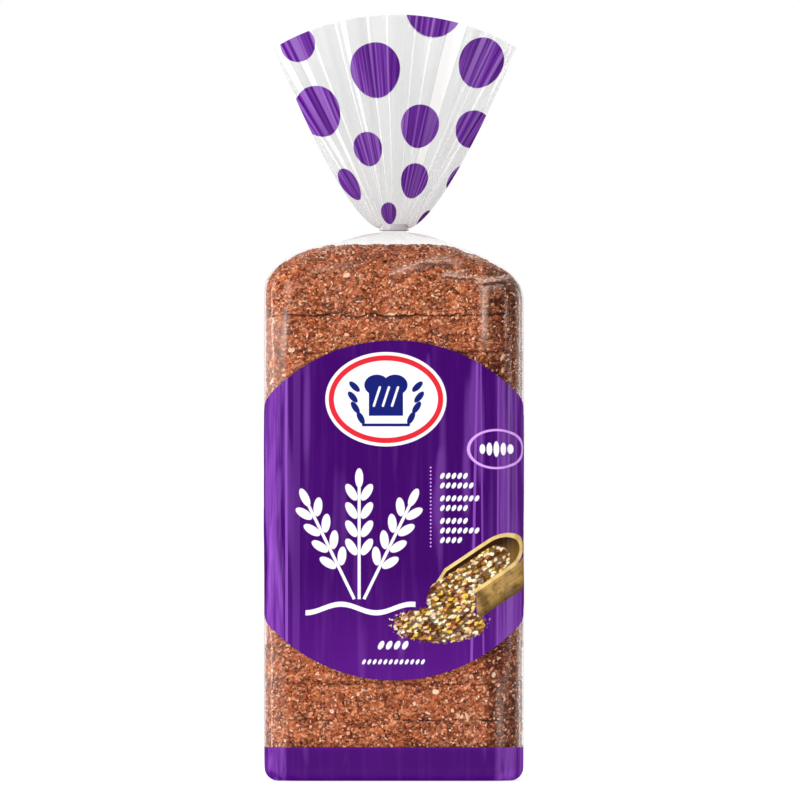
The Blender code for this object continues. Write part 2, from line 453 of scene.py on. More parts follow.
def upper_heel():
    """The domed slab on top, drawn in along a quarter ellipse."""
    heel = slab("slice_13", LAST_CUT_Z + SLICE_GAP / 2, FILM_SHOULDER_Z)
    half_width = BODY_HALF_WIDTH - BREAD_INSET
    with edit_mode(heel, "FACE"):
        pick("faces", lambda face: face.normal.z > 0.9)
        width, height = half_width, 0
        for i in range(1, DOME_STEPS):
            angle = math.pi / 2 * i / DOME_STEPS
            next_width = half_width - HEEL_REACH * (1 - math.cos(angle))
            next_height = HEEL_RISE * math.sin(angle)
            shrink = next_width / width
            bpy.ops.mesh.extrude_region_move(TRANSFORM_OT_translate={"value": (0, 0, next_height - height)})
            bpy.ops.transform.resize(value=(shrink, shrink, 1))
            width, height = next_width, next_height
    apply_modifier(heel, "REMESH", mode="VOXEL", voxel_size=HEEL_VOXEL)
    apply_modifier(heel, "SMOOTH", factor=0.5, iterations=4)
    points = read_points(heel)
    points[:, 2] -= right_drop(points[:, 0], points[:, 2])
    write_points(heel, points)
    return heel


# %% [markdown]
# The relief is made by Displace modifiers with three of Blender's procedural textures. Clouds
# five millimetres wide make each cut wavy, wide clouds give the crust the slight unevenness of
# baked dough, and cells a millimetre and a half wide are its grains. A vertex group leaves the
# crust's relief off the cut faces, so that slices stay closed on one another. The textures are
# read in world space, so every copied slice comes out different. A slice is also shifted and
# turned a little by a seeded draw, as cut bread never lines up.

# %% Crust relief and the stack of slices
GRAIN_SIZE = 1.5 * MM
GRAIN_HEIGHT = 0.9 * MM
SWELL_SIZE = 14 * MM
SWELL_HEIGHT = 0.7 * MM
CUT_WAVE_SIZE = 5 * MM
CUT_WAVE_HEIGHT = 2.6 * MM
CUT_MARGIN = 0.6 * MM
FILM_MARGIN = 0.32 * MM
SLICE_SHIFT = 0.14 * MM
SLICE_TURN_DEGREES = 0.08
SMOOTH_ANGLE = math.radians(60)
draw = np.random.default_rng(15)

grain_texture = bpy.data.textures.new("crust_grains", "VORONOI")
grain_texture.noise_scale = GRAIN_SIZE
grain_texture.noise_intensity = 1.0
swell_texture = bpy.data.textures.new("crust_swell", "CLOUDS")
swell_texture.noise_scale = SWELL_SIZE
wave_texture = bpy.data.textures.new("cut_wave", "CLOUDS")
wave_texture.noise_scale = CUT_WAVE_SIZE


def mark_crust(piece, number):
    """Weighs each point by its distance to the slice's cuts, so that the cuts stay closed."""
    cuts = [FIRST_CUT_Z + SLICE_THICKNESS * cut
            for cut in (number - 1, number) if 0 <= cut <= SLICE_COUNT]
    heights = read_points(piece)[:, 2]
    nearest = np.min([np.abs(heights - cut) for cut in cuts], axis=0)
    note(piece, "cut", nearest / MM)
    group = piece.vertex_groups.new(name="crust")
    for index, share in enumerate(np.minimum(1, nearest / CUT_MARGIN).tolist()):
        group.add([index], share, "REPLACE")


def roughen(piece):
    """Gives the slice its wavy cuts, and the crust its swell and its grains."""
    apply_modifier(piece, "DISPLACE", texture=wave_texture, texture_coords="GLOBAL", direction="Z",
                   strength=CUT_WAVE_HEIGHT, mid_level=0.5)
    apply_modifier(piece, "DISPLACE", texture=swell_texture, texture_coords="GLOBAL",
                   strength=SWELL_HEIGHT, mid_level=0.62, vertex_group="crust")
    apply_modifier(piece, "DISPLACE", texture=grain_texture, texture_coords="GLOBAL",
                   strength=-GRAIN_HEIGHT, mid_level=0.35, vertex_group="crust")
    piece.vertex_groups.clear()
    write_points(piece, keep_inside(read_points(piece), FILM_MARGIN))


def stack():
    """The twelve slices between the heels, each a shifted copy with its own relief."""
    pieces = [lower_heel()]
    for number in range(1, SLICE_COUNT + 1):
        only(plain_slice)
        bpy.ops.object.duplicate(linked=False)
        piece = bpy.context.object
        piece.name = f"slice_{number:02d}"
        shift_x, shift_y = draw.normal(0, SLICE_SHIFT, 2)
        piece.location = (shift_x, shift_y, (number - 1) * SLICE_THICKNESS)
        piece.rotation_euler.z = math.radians(draw.normal(0, SLICE_TURN_DEGREES))
        settle(piece)
        pieces.append(piece)
    pieces.append(upper_heel())
    for number, piece in enumerate(pieces):
        mark_crust(piece, number)
        roughen(piece)
        bpy.ops.object.shade_smooth_by_angle(angle=SMOOTH_ANGLE)
    bpy.data.objects.remove(plain_slice)
    return pieces


bread = stack()
print("slices:", len(bread), "with", sum(triangles(piece) for piece in bread), "triangles")

# %% [markdown]
# ## Crust and crumb
#
# The crust of wholegrain bread is mid brown, with paler grain tops, dark gaps between them and broad patches
# that baked lighter or redder. The dark gaps and crevices between the grains are painted shade, and fine pale
# specks are painted glints. The grains in the colour use cells of about the same size as the relief. A broken
# dark line of painted shade follows each cut, and painted shade darkens the loaf's right front edge. The
# crumb shows only between the slices: a tan sponge, with a dark ring where the crust begins.

# %% Crust and crumb materials
CRUST_DEEP = colour(60, 18, 5)
CRUST_MID = colour(174, 80, 40)
CRUST_RED = colour(200, 88, 40)
CRUST_TAN = colour(234, 140, 88)
CRUST_BRIGHT = colour(246, 166, 112)
CRUST_PALE = colour(255, 216, 176)
CRUMB_DARK = colour(112, 66, 36)
CRUMB_MID = colour(150, 108, 70)
CRUMB_PALE = colour(205, 168, 124)
RIND = 2.8
# Sizes of the lumps in the crust's colour, in millimetres: across, deep and up.
PATCH_SIZE = (16, 16, 11)
BLOTCH_SIZE = (4.6, 4.6, 3.4)
CREVICE_SIZE = (1.7, 1.7, 1.3)
FLECK_SIZE = (1.7, 1.2, 1.7)
SEAM_SIZE = (6, 6, 9)
FINE_SIZE = 0.5


def painted_shade_corner(x, y):
    """1 at the loaf's right front edge, where painted shade darkens the crust and its flakes, and 0
    elsewhere.
    """
    return x.over(33, 1 / 3) * y.under(-24, 1 / 8)


def crust_material():
    paint = Paint("baked_crust")
    place = x, y, z = paint.place()
    warp = paint.noise(place, 1.1) * 2 - 1
    grain = paint.point((x / 1.25 + warp, y / 1.25 - warp, z + warp))
    distance = paint.cells(grain)
    patch = paint.noise(place, PATCH_SIZE, 3)
    blotch = paint.noise(place, BLOTCH_SIZE, 2, 0.6)
    crevice = paint.noise(place, CREVICE_SIZE, 3, 0.6)
    fleck = paint.noise((x, z, y), FLECK_SIZE, 2, 0.6)
    fine = paint.noise(place, FINE_SIZE)
    grains = paint.ramp(paint.cell_tone(grain), (
        (0.0, CRUST_DEEP), (0.35, CRUST_MID), (0.72, CRUST_TAN), (1.0, CRUST_PALE)))
    top = (1.15 - distance * 1.5).clamped()
    # Patches that baked darker, plus painted shade at the right front edge.
    baked_and_shade = patch.over(0.52, 5) * 0.4 + blotch.over(0.5, 7) * 0.45 + painted_shade_corner(x, y) * 0.66
    behind = y.over(-36, 1 / 6)
    broken = paint.noise(place, SEAM_SIZE, 3, 0.7) + behind * 0.18
    # Painted shade along each cut, where the narrow gap between slices would lie in shadow.
    seam = paint.attribute("cut").under(0.75, 1.6) * broken.over(0.4, 5)
    # The dark gaps between the grain cells and the dark crevices are painted shade in the crust's hollows,
    # and the fine pale specks are painted glints.
    mixed = paint.layers(
        CRUST_MID, (patch.over(0.35, 3), CRUST_RED), (top * 0.75, grains),
        (distance.over(0.42, 3.2) * 0.75, CRUST_DEEP), (crevice.over(0.53, 8) * 0.85, CRUST_DEEP),
        (fleck.over(0.55, 8) * 0.6, CRUST_BRIGHT), (fine.over(0.57, 6) * 0.5, CRUST_PALE),
        (blotch.under(0.47, 6) * 0.3, CRUST_TAN), (baked_and_shade.clamped() * (1 - top * 0.35), CRUST_DEEP),
        (seam * 0.8, CRUST_DEEP))
    relief = paint.bump(fine - distance * 0.8 - crevice, 0.7, 0.35 * MM)
    return paint.finish(paint.shader(Base_Color=mixed, Roughness=0.5 + fine * 0.2, Specular_IOR_Level=0.1,
                                     Normal=relief))


def crumb_material():
    paint = Paint("wholegrain_crumb")
    place = x, y, _ = paint.place()
    holes = paint.cells(paint.point(place, 1.9))
    specks = paint.noise(place, 1.2, 3)
    rind = (abs(x) - BODY_HALF_WIDTH / MM).at_least(abs(y) - BODY_HALF_DEPTH / MM) + RIND
    mixed = paint.layers(CRUMB_MID, (holes.over(0.3, 2), CRUMB_PALE), (specks.over(0.6, 8), CRUMB_DARK),
                         ((rind / 0.8).clamped(), CRUST_DEEP))
    relief = paint.bump(holes, 0.6, 0.6 * MM)
    return paint.finish(paint.shader(Base_Color=mixed, Roughness=0.85, Normal=relief))


crust = crust_material()
crumb = crumb_material()
CUT_NORMAL = 0.93
for piece in bread:
    finish_piece(piece, "bread_crust", crust, crumb)
    if piece.name not in ("slice_00", "slice_13"):
        for face in piece.data.polygons:
            face.material_index = int(abs(face.normal.z) > CUT_NORMAL)

# %% [markdown]
# ## Flakes on the crust
#
# Bran, oats and seeds are baked onto the crust, and they give it its sparkle. Thousands of loose
# pieces have to stay light, so each flake is an icosphere of twenty faces, squashed and turned
# by a seeded draw, and laid flat on a face of the crust that is chosen by its area. All flakes
# of one kind are one joined mesh, with an attribute that holds each flake's own tone.

# %% Places on the crust
FLAKES_FROM_Z = 11.5 * MM


def crust_places():
    """The middle, normal and area of each crust face of the loaf."""
    middles, normals, areas = [], [], []
    for piece in bread:
        faces = piece.data.polygons
        count = len(faces)
        middle, normal, area = np.empty(count * 3), np.empty(count * 3), np.empty(count)
        faces.foreach_get("center", middle)
        faces.foreach_get("normal", normal)
        faces.foreach_get("area", area)
        normal = normal.reshape(-1, 3)
        is_heel = piece.name == "slice_13"
        keep = (np.abs(normal[:, 2]) < 0.7) | (is_heel & (normal[:, 2] > 0))
        keep &= middle.reshape(-1, 3)[:, 2] > FLAKES_FROM_Z
        middles.append(middle.reshape(-1, 3)[keep])
        normals.append(normal[keep])
        areas.append(area[keep])
    return np.concatenate(middles), np.concatenate(normals), np.concatenate(areas)


places, directions, shares = crust_places()
print("crust area:", round(shares.sum() * 1e4, 1), "square centimetres")


# %% Flakes as one joined mesh
CORNER_SPREAD = 0.12


def icosphere():
    """The corners and faces of the twenty-faced ball that every flake starts from."""
    bpy.ops.object.select_all(action="DESELECT")
    bpy.ops.mesh.primitive_ico_sphere_add(subdivisions=1, radius=0.5)
    ball = bpy.context.object
    corners = np.array([vertex.co for vertex in ball.data.vertices])
    faces = np.array([face.vertices for face in ball.data.polygons])
    bpy.data.objects.remove(ball)
    return corners, faces


def scatter(name, count, size, spread, lift, tilt, slant):
    """Lays flakes on the crust as one mesh. Sizes and lift are in millimetres."""
    corners, faces = icosphere()
    chosen = draw.choice(len(places), count, replace=False, p=shares / shares.sum())
    normal = directions[chosen] + draw.normal(0, tilt, (count, 3))
    normal /= np.linalg.norm(normal, axis=1)[:, None]
    helper = np.where(np.abs(normal[:, 2:]) > 0.8, [[1.0, 0, 0]], [[0, 0, 1.0]])
    side = np.cross(helper, normal)
    side /= np.linalg.norm(side, axis=1)[:, None]
    up = np.cross(normal, side)
    turn = draw.uniform(0, 2 * math.pi, (count, 1))
    long_way = side * np.cos(turn) + up * np.sin(turn)
    wide_way = np.cross(normal, long_way)
    scale = np.exp(draw.normal(0, spread, (count, 3))) * np.array(size) * MM
    shape = corners[None] * scale[:, None] * (1 + draw.normal(0, CORNER_SPREAD, (count, len(corners), 3)))
    points = (shape[..., :1] * long_way[:, None] + shape[..., 1:2] * wide_way[:, None]
              + shape[..., 2:] * normal[:, None])
    points += (places[chosen] + directions[chosen] * lift * MM)[:, None]
    index = faces[None] + (np.arange(count) * len(corners))[:, None, None]
    data = bpy.data.meshes.new(name)
    points = keep_inside(points.reshape(-1, 3), FILM_MARGIN)
    data.from_pydata(points.tolist(), [], index.reshape(-1, 3).tolist())
    flakes = bpy.data.objects.new(name, data)
    note(flakes, "tone", np.repeat(draw.random(count) ** slant, len(corners)))
    bpy.context.scene.collection.objects.link(flakes)
    return flakes


def flake_material(name, tones, roughness):
    paint = Paint(name)
    place = x, y, _ = paint.place()
    mottle = paint.noise(place, 0.6)
    # Flakes at the right front edge get the same painted shade as the crust.
    mixed = paint.layers(paint.ramp(paint.attribute("tone"), tones),
                         (mottle.over(0.5, 2) * 0.4, CRUST_MID), (painted_shade_corner(x, y) * 0.22, CRUST_DEEP))
    return paint.finish(paint.shader(Base_Color=mixed, Roughness=roughness, Specular_IOR_Level=0.15))


# Each kind: name, count, length, width and thickness in millimetres, spread of the sizes, lift off
# the crust in millimetres, tilt, slant towards the dark tones, roughness, and the tones.
FLAKE_KINDS = (
    ("bran_flakes", 9000, (1.5, 0.9, 0.35), 0.3, 0.06, 0.35, 1.1, 0.5, (
        (0.0, colour(160, 76, 42)), (0.4, colour(214, 120, 78)), (0.8, colour(240, 166, 122)),
        (1.0, colour(252, 212, 178)))),
    ("dark_flakes", 8000, (1.2, 0.7, 0.35), 0.3, 0.05, 0.35, 1.0, 0.5, (
        (0.0, colour(48, 16, 6)), (0.6, colour(96, 38, 16)), (1.0, colour(150, 66, 32)))),
    ("oat_crumbs", 8000, (1.1, 0.55, 0.35), 0.3, 0.11, 0.3, 1.0, 0.55, (
        (0.0, colour(206, 138, 104)), (0.5, colour(234, 178, 146)), (1.0, colour(250, 218, 190)))),
    ("rolled_oats", 70, (2.7, 1.8, 0.5), 0.2, 0.08, 0.1, 1.0, 0.5, (
        (0.0, colour(222, 160, 120)), (0.6, colour(242, 204, 172)), (1.0, colour(252, 232, 210)))),
)
for name, count, size, spread, lift, tilt, slant, roughness, tones in FLAKE_KINDS:
    finish_piece(scatter(name, count, size, spread, lift, tilt, slant), "bread_crust",
                 flake_material(name, tones, roughness))

# %% [markdown]
# ## The film
#
# The bag is made from a flat sheet that is rolled into a tube, and the model is made the same
# way. A grid is the flat sheet, and each of its points is moved to its place round the loaf by
# a formula. A cage of a few faces could not hold the fine upright folds, so the sheet is dense
# and the folds are moved in by the same formula. The sheet keeps some numbers at every point:
# how far it lies across the printed panel, how strongly it is creased, and, on the body, how
# much a fold veils the bread.

# %% The way round the bag
AROUND = 430
SIDE_ANGLE = math.radians(57)
SIDE_EASE = 5 * MM
PANEL_HALF = BODY_HALF_WIDTH + BODY_HALF_DEPTH - CORNER_RADIUS


def round_box(turn, half_width, half_depth, corner):
    """Points round a rounded rectangle. Turn 0 is the middle of the front, and -1 and 1 the back.

    The third result is the distance across the panel: the width as seen from the front, then the
    length of film beyond the corner. It falls again behind the middle of the side.
    """
    quarter = half_width + half_depth - 2 * corner + corner * math.pi / 2
    run = np.abs(turn) * 2 * quarter
    behind = run > quarter
    run = np.where(behind, 2 * quarter - run, run)
    flat = half_width - corner
    angle = np.clip((run - flat) / corner, 0, math.pi / 2)
    past = np.maximum(run - flat - corner * math.pi / 2, 0)
    x = np.minimum(run, flat) + corner * np.sin(angle)
    y = corner * (1 - np.cos(angle)) + past - half_depth
    seen = np.minimum(angle, SIDE_ANGLE)
    least = math.cos(SIDE_ANGLE)
    across = np.minimum(run, flat) + corner * (np.sin(seen) + (angle - seen) * least)
    across += past - (1 - least) * SIDE_EASE * (1 - np.exp(-past / SIDE_EASE))
    side = np.where(turn < 0, -1, 1)
    return x * side, np.where(behind, -y, y), across * side


def oval(turn, half_width, half_depth):
    """Points round an ellipse, with the same turns."""
    angle = turn * math.pi
    return half_width * np.sin(angle), -half_depth * np.cos(angle)


print("half a panel across:", round(PANEL_HALF / MM, 1), "mm")

# %% [markdown]
# Folds run up and down, because the film is pulled up to the tie. A few are placed where the
# photograph shows them: a long one beside each front corner, slanted ones low on the left, and
# a stiff crease over the shoulder. A seeded draw adds many faint ones all the way round.

# %% Folds in the film
# Each fold: across the panel, lowest and highest point, width, height, and lean, in millimetres.
FRONT_FOLDS = (
    (-40.2, 84, 178, 0.9, 0.42, -1.0), (-37.2, 60, 168, 1.3, 0.22, 0.5), (-32.5, 92, 160, 1.8, 0.28, 0.0),
    (-26.0, 22, 100, 2.4, 0.22, 3.0), (-19.0, 66, 125, 2.6, 0.25, -2.0), (-11.0, 20, 74, 2.8, 0.20, 3.0),
    (-45.0, 70, 118, 1.2, 0.45, 4.5), (-43.0, 58, 96, 1.1, 0.40, -4.0), (-46.5, 52, 80, 1.0, 0.35, 2.5),
    (-4.0, 100, 160, 2.2, 0.12, 0.0), (12.7, 142, 162, 0.8, 0.40, 0.3), (10.5, 12, 80, 2.6, 0.20, -2.0),
    (18.0, 100, 162, 1.8, 0.16, 0.0), (29.6, 120, 162, 0.7, 0.45, 0.4), (32.2, 110, 162, 0.8, 0.40, -0.4),
    (35.0, 160, 190, 1.2, 0.45, 0.3), (-34.5, 150, 186, 1.0, 0.30, 0.8),
    (36.5, 30, 150, 1.4, 0.26, 0.4), (40.5, 26, 176, 1.2, 0.40, 0.4), (44.8, 20, 182, 1.0, 0.42, -0.3),
    (24.0, 4, 42, 1.8, 0.22, 1.5), (33.5, 2, 36, 1.5, 0.30, -1.5), (42.0, 1, 28, 1.3, 0.40, 2.0),
    (38.9, 1, 13, 0.7, 0.45, 1.6), (42.4, 2, 13, 0.6, 0.45, -1.6), (-46.0, 2, 12, 0.9, 0.40, 1.0),
    (-33.0, 1, 24, 2.0, 0.25, -2.0), (-18.0, 2, 16, 2.2, 0.20, 3.0), (3.0, 1, 18, 2.0, 0.16, -3.0),
)
# Folds of the same kind that show as pale veils over the crust, painted as highlight in the film's haze.
VEIL_FOLDS = ((33.4, 160, 192, 0.8, 0.40, 0.4), (-40.5, 158, 176, 0.6, 0.30, 0.8),
              (39.5, 8, 40, 0.6, 0.30, -0.5))
# Each crease over the shoulder: left and right end, height in the middle, width, rise and slope.
SHOULDER_CREASES = (
    (31.0, 42.5, 187.6, 1.1, 0.6, 0.24), (17, 28.5, 189.2, 0.8, 0.4, 0.04), (-2, 12, 191.6, 0.8, 0.35, 0.27),
    (10, 17, 194.2, 0.8, 0.4, 0.36), (15.5, 26, 195.0, 0.8, 0.35, -0.15), (-32, -12, 192.0, 0.9, 0.15, 0.10),
)
FAINT_FOLDS = 130
FOLD_FADE = 0.6
LEAST_FOLD = 1.2


def faint_folds():
    """Small seeded folds all round: front, sides and back."""
    folds = []
    for _ in range(FAINT_FOLDS):
        low = draw.uniform(0, 150)
        folds.append((draw.uniform(-PANEL_HALF, PANEL_HALF) / MM, low, low + draw.uniform(18, 80),
                      draw.uniform(0.7, 2.2), draw.uniform(0.05, 0.22), draw.normal(0, 1.2)))
    return folds


def fold_heights(across, up, folds):
    """How far each point is pushed out by these folds."""
    height = np.zeros_like(across)
    for place, low, high, width, rise, lean in folds:
        share = (up / MM - low) / (high - low)
        fade = np.sin(math.pi * np.clip(share, 0, 1)) ** FOLD_FADE
        off = (across / MM - place - lean * (share - 0.5)) / max(width, LEAST_FOLD)
        height += rise * MM * fade * np.exp(-off * off)
    return height


def shoulder_creases(across, up):
    """How far each point is pushed out by the level creases where the film turns over the loaf."""
    height = np.zeros_like(across)
    for left, right, level, width, rise, slope in SHOULDER_CREASES:
        share = np.clip((across / MM - left) / (right - left), 0, 1)
        off = (up / MM - level - slope * (across / MM - (left + right) / 2)) / max(width, LEAST_FOLD)
        height += rise * MM * np.sin(math.pi * share) ** FOLD_FADE * np.exp(-off * off)
    return height


def body_folds(across, up, front):
    """All the folds of the body: the placed ones in front, and faint ones in front and behind."""
    placed = (fold_heights(across, up, FRONT_FOLDS + VEIL_FOLDS) + shoulder_creases(across, up)) * front
    return (placed + fold_heights(across, up, front_faint) * front
            + fold_heights(across, up, back_faint) * (1 - front))


front_faint = faint_folds()
back_faint = faint_folds()
print("folds:", len(FRONT_FOLDS) + 2 * FAINT_FOLDS)

# %% [markdown]
# The sheet is rolled row by row. The rows start at the middle of the base, turn up round its
# edge, follow the slices, close over the domed heel, and rise as a low tent to the neck. The
# folds are moves along the film's own normal.

# %% Rows of the film body
TENT_FOLD = 0.35 * MM
TENT_PLEATS = 17
TENT_BULGE = 0.10
EDGE_ROWS = 7
WALL_ROWS = 128
DOME_ROWS = 18
TENT_ROWS = 17
WELD_DISTANCE = 0.01 * MM


def body_rows():
    """Each row as its inset from the full size, its height and its closeness to the neck's oval."""
    rows = [(BODY_HALF_WIDTH * (1 - share), 0.0, 0.0) for share in (0.02, 0.2, 0.4, 0.6, 0.75)]
    for angle in np.linspace(0, math.pi / 2, EDGE_ROWS):
        rows.append((BASE_EDGE * (1 - math.sin(angle)), BASE_EDGE * (1 - math.cos(angle)), 0.0))
    for height in np.linspace(BASE_EDGE, FILM_SHOULDER_Z, WALL_ROWS)[1:]:
        rows.append((0.0, float(height), 0.0))
    for angle in np.linspace(0, DOME_END, DOME_ROWS)[1:]:
        rows.append((DOME_REACH * (1 - math.cos(angle)), FILM_SHOULDER_Z + DOME_RISE * math.sin(angle), 0.0))
    start_inset, start_z = rows[-1][:2]
    for closeness in np.linspace(0, 1, TENT_ROWS)[1:]:
        rise = closeness + TENT_BULGE * math.sin(math.pi * closeness)
        rows.append((start_inset, start_z + (NECK_BOTTOM_Z - start_z) * rise, float(closeness)))
    rows.append((start_inset, (NECK_BOTTOM_Z + NECK_TOP_Z) / 2, 1.0))
    return rows


def rolled_sheet(name, columns, rows):
    """A flat grid with one column of points for each turn and one row for each height."""
    bpy.ops.object.select_all(action="DESELECT")
    bpy.ops.mesh.primitive_grid_add(x_subdivisions=columns, y_subdivisions=rows - 1, size=2)
    sheet = bpy.context.object
    sheet.name = name
    flat = read_points(sheet)
    return sheet, flat[:, 0], np.rint((flat[:, 1] + 1) / 2 * (rows - 1)).astype(int)


def close_seam(piece):
    """Joins the sheet's two edges and turns its faces outwards."""
    with edit_mode(piece, "VERT"):
        bpy.ops.mesh.select_all(action="SELECT")
        bpy.ops.mesh.remove_doubles(threshold=WELD_DISTANCE)
        bpy.ops.mesh.normals_make_consistent(inside=False)
    bpy.ops.object.shade_smooth()


def push_out(piece, amount):
    """Moves each point along its own normal."""
    normals = np.empty(len(piece.data.vertices) * 3)
    piece.data.vertices.foreach_get("normal", normals)
    write_points(piece, read_points(piece) + normals.reshape(-1, 3) * amount[:, None])


# %% The film body
BASE_SEAM_WIDTH = 1.2 * MM
BASE_FOLD_WIDTH = 1.0 * MM
BASE_FOLD_SHIFT = 8 * MM
BASE_FOLD_DEPTH = 0.35 * MM
FULL_CREASE = 0.4 * MM
FILM_INSET = 0.12 * MM
FOLDS_FROM_Z, FOLDS_FADE = 0.5 * MM, 4 * MM


def base_crease(x, y):
    """The folded end of the bag under the loaf: a seam across it and four slanted folds."""
    seam = np.exp(-((y / BASE_SEAM_WIDTH) ** 2))
    corner = np.abs(x) - np.abs(y) - BASE_FOLD_SHIFT
    return BASE_FOLD_DEPTH * np.maximum(seam, np.exp(-((corner / BASE_FOLD_WIDTH) ** 2)))


def make_film_body():
    rows = body_rows()
    film, turn, row = rolled_sheet("film_body", AROUND, len(rows))
    inset, up, closeness = (np.array(column)[row] for column in zip(*rows))
    scale = 1 - inset / BODY_HALF_WIDTH
    half_width, half_depth = BODY_HALF_WIDTH * scale, BODY_HALF_DEPTH * scale
    corner = np.minimum(CORNER_RADIUS + inset * 0.2, half_depth * 0.98)
    corner = np.where(up <= BASE_EDGE, CORNER_RADIUS * scale, corner)
    x, y, across = round_box(turn, half_width, half_depth, corner)
    neck_x, neck_y = oval(turn, NECK_HALF_WIDTH, NECK_HALF_DEPTH)
    x, y = x + (neck_x - x) * closeness, y + (neck_y - y) * closeness
    pleats = np.sin(TENT_PLEATS * math.pi * turn) * np.sin(math.pi * closeness) * TENT_FOLD
    height = up + pleats - right_drop(x, up) * (1 - closeness)
    write_points(film, np.stack([x, y, height], 1))
    front = (y < 0).astype(float)
    on_wall = np.clip((up - FOLDS_FROM_Z) / FOLDS_FADE, 0, 1) * np.clip(1 - inset / DOME_REACH, 0, 1)
    folds = body_folds(across, up, front) * on_wall
    note(film, "across", across)
    note(film, "crease", np.clip(folds / FULL_CREASE, 0, 1))
    veil = (fold_heights(across, up, VEIL_FOLDS) + shoulder_creases(across, up)) * front
    note(film, "veil", np.clip(veil / FULL_CREASE, 0, 1))
    push = folds - FILM_INSET - base_crease(x, y) * (up <= 0)
    push_out(film, np.where(closeness > 0, 0, push))
    close_seam(film)
    return film


film_body = make_film_body()
print("film body:", triangles(film_body), "triangles")

# %% [markdown]
# The mouth is the same sheet above the tie. Its edge was cut straight, so every point of the
# edge is as far from the gathered neck as the next, and the edge spreads into an arc. The
# pleats start at the neck. They are broad and flat with narrow sharp ridges between them.

# %% The ruffled mouth
FLARE_POWER = 0.75
FAN_TILT = 0.6 * MM
MOUTH_AROUND = 720
MOUTH_ROWS = 62
RIDGES = 34
RIDGE_HEIGHT = 0.9 * MM
SIDEWAYS_SHARE = 0.3
NECK_TUCK = 1.4 * MM
EDGE_PULL = 0.6 * MM
PRINT_SHIFT = 0.15 * MM
# Two slow waves on which the ridges ride: height, half waves all round, and start.
SLOW_WAVES = ((0.55, 11, 0.7), (0.35, 17, 2.0))


def mouth_pleats(turn, rise):
    """Height of the ruffles: seeded ridges that fade in and out between the neck and the edge."""
    place = np.linspace(-1, 1, RIDGES, endpoint=False) + draw.normal(0, 0.015, RIDGES)
    width = draw.uniform(0.012, 0.028, RIDGES)
    height = draw.uniform(-0.6, 1.0, RIDGES)
    start = draw.uniform(-0.25, 0.35, RIDGES)
    drift = draw.normal(0, 0.010, RIDGES)
    total = np.zeros_like(turn)
    for i in range(RIDGES):
        off = (turn - place[i] - drift[i] * rise + 1) % 2 - 1
        fade = np.clip((rise - start[i]) * 3, 0, 1)
        total += height[i] * fade * np.exp(-((off / width[i]) ** 2))
    return total + sum(tall * np.sin(waves * math.pi * turn + begin) for tall, waves, begin in SLOW_WAVES)


def make_film_mouth():
    film, turn, row = rolled_sheet("film_mouth", MOUTH_AROUND, MOUTH_ROWS)
    rise = row / (MOUTH_ROWS - 1)
    neck_reach = NECK_TOP_Z - FOCUS_Z - NECK_TUCK
    reach = neck_reach + (MOUTH_REACH - neck_reach) * rise
    half_width = NECK_HALF_WIDTH + (MOUTH_HALF_WIDTH - NECK_HALF_WIDTH) * rise**FLARE_POWER
    half_depth = NECK_HALF_DEPTH + (MOUTH_HALF_DEPTH - NECK_HALF_DEPTH) * rise
    x, y = oval(turn, half_width, half_depth)
    pleats = mouth_pleats(turn, rise)
    out = np.stack([x / half_width**2, y / half_depth**2], 1)
    out /= np.linalg.norm(out, axis=1)[:, None]
    height = (RIDGE_HEIGHT * pleats - EDGE_PULL) * rise
    bent_x, bent_y = x + out[:, 0] * height * SIDEWAYS_SHARE, y + out[:, 1] * height
    z = FOCUS_Z + np.sqrt(reach**2 - bent_x**2)
    write_points(film, np.stack([bent_x + FAN_TILT * rise, bent_y, z], 1))
    note(film, "across", x + FAN_TILT * rise + PRINT_SHIFT * pleats * rise)
    note(film, "crease", np.clip(pleats * 0.5 + 0.5, 0, 1))
    close_seam(film)
    return film


film_mouth = make_film_mouth()
print("film mouth:", triangles(film_mouth), "triangles")

# %% [markdown]
# ## The print
#
# The print is drawn by distances. Each shape is the distance to its edge in millimetres, which
# a narrow ramp turns into a mask, so that its edge stays sharp at any size. Shapes are joined by
# taking the larger mask. A helper for each kind keeps the drawing short.

# %% Shapes of the print
def length(a, b):
    return (a * a + b * b) ** 0.5


def inked(distance, soft=0.16):
    """A mask that is 1 inside an edge and 0 outside it."""
    return (0.5 - distance / soft).clamped()


def turned(x, y, middle, degrees=0):
    """Moves to a shape's middle and turns by an angle, so that its length runs along the first."""
    cosine, sine = math.cos(math.radians(degrees)), math.sin(math.radians(degrees))
    across, up = x - middle[0], y - middle[1]
    return across * cosine + up * sine, up * cosine - across * sine


def outside(a, b, radii):
    """About how far a point lies outside an ellipse."""
    return (length(a / radii[0], b / radii[1]) - 1) * min(radii)


def ellipse(x, y, middle, radii, degrees=0):
    return inked(outside(*turned(x, y, middle, degrees), radii))


def stroke(x, y, middle, half_length, radius, degrees=0):
    """A straight line with round ends."""
    a, b = turned(x, y, middle, degrees)
    return inked(length((abs(a) - half_length).at_least(0), b) - radius)


def box(x, y, middle, half_width, half_height):
    a, b = turned(x, y, middle)
    return inked((abs(a) - half_width).at_least(abs(b) - half_height))


def either(*masks):
    joined = masks[0]
    for mask in masks[1:]:
        joined = joined.at_least(mask)
    return joined


def within(value, low, high):
    """1 where a value is between two others."""
    return (value > low) * (value < high)


# %% [markdown]
# The drawing itself is of the plain kind that suits a pack of bread: ears of wheat, rows of
# seeds, a small loaf on an oval badge, and a wooden scoop that spills mixed grain. An ear
# repeats one pair of kernels along its stem, with the remainder of a division.

# %% Ears, seed rows and badge
KERNEL_PAIRS = 4
KERNEL_PITCH = 6.8
SEED_LEAN = 60
SPRIG_LEAVES = 4


